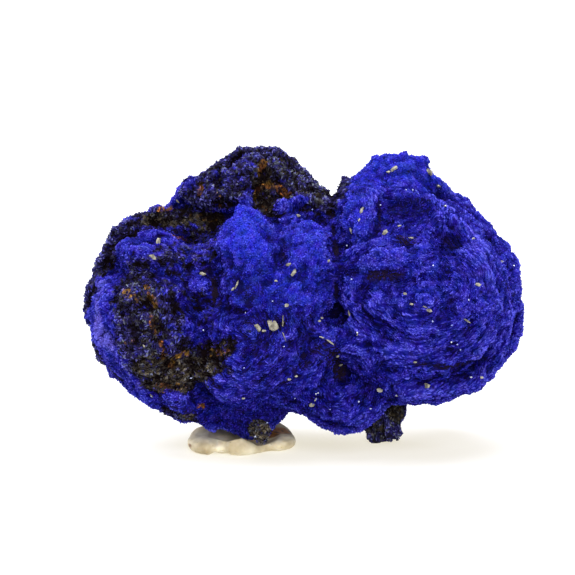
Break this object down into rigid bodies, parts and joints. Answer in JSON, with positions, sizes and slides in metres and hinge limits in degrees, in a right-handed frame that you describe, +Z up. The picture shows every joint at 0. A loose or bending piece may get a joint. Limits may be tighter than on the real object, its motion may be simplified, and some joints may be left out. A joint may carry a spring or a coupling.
{
  "type": "azurite specimen",
  "caption": "Knobbly double nodule of deep blue azurite crust with a dark rusty side, standing on a pressed pinch of off-white mounting putty.",
  "frame": {"origin": "on the floor, under the middle of the specimen's bounding box", "axes": "+Z up; +X from the dark nodule to the bright one, along the length; -Y is the show side"},
  "size_m": [0.042, 0.0214, 0.0286],
  "materials": {
    "azurite": "velvety crust of tiny blade crystals, deep ultramarine, with a near-black olive and rust patch on one nodule and tan sand grains caught in it",
    "putty": "kneaded off-white putty, soft satin, with a brown stain"
  },
  "bodies": {
    "root": {"azurite": "azurite", "putty": "putty"}
  },
  "joints": []
}
